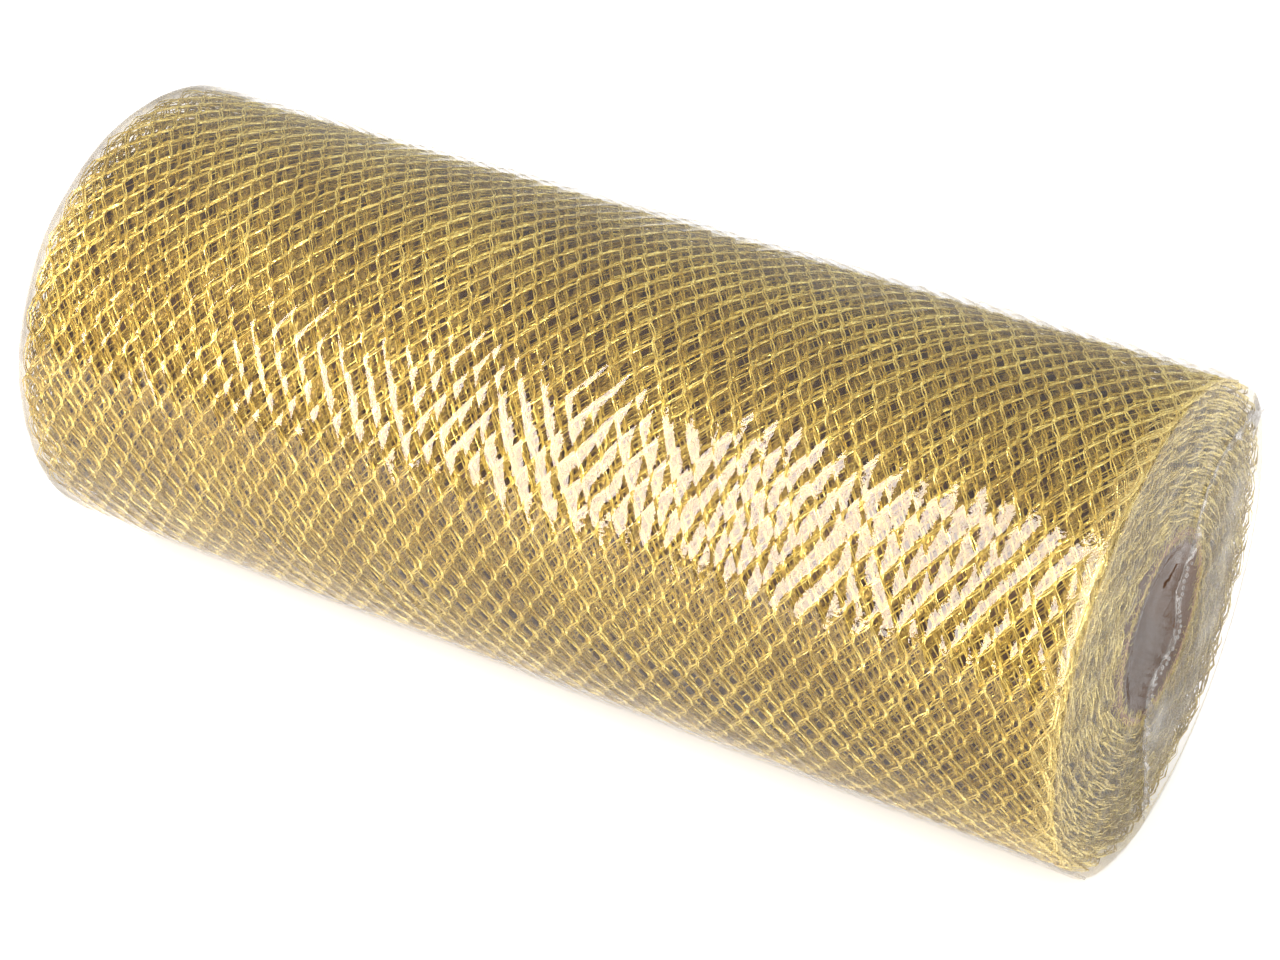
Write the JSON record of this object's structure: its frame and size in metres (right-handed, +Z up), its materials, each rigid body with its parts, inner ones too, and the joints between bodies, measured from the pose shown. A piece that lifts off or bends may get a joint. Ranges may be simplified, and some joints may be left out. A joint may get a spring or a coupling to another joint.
{
  "type": "wrapping net roll",
  "caption": "Roll of gold metallic mesh wrapping net wound on a paperboard core, in a shrink-film bag sealed over one end.",
  "frame": {"origin": "on the core's axis, halfway along the core", "axes": "+X along the roll towards the sealed end, +Z up as the roll lies on its side, +Y to the back"},
  "size_m": [0.2542, 0.1054, 0.1051],
  "materials": {
    "core_board": "matt kraft board",
    "adhesive_tape": "clear film tape",
    "gold_net": "knitted metallic yarn",
    "clear_film": "glossy clear shrink film"
  },
  "bodies": {
    "root": {"core_inner_ply": "core_board", "core_middle_ply_a": "core_board", "core_middle_ply_b": "core_board", "core_outer_ply": "core_board", "start_tape": "adhesive_tape", "net_web": "gold_net", "tail_tape": "adhesive_tape", "film_bag": "clear_film", "film_end_seal": "clear_film", "film_side_seal": "clear_film"}
  },
  "joints": []
}
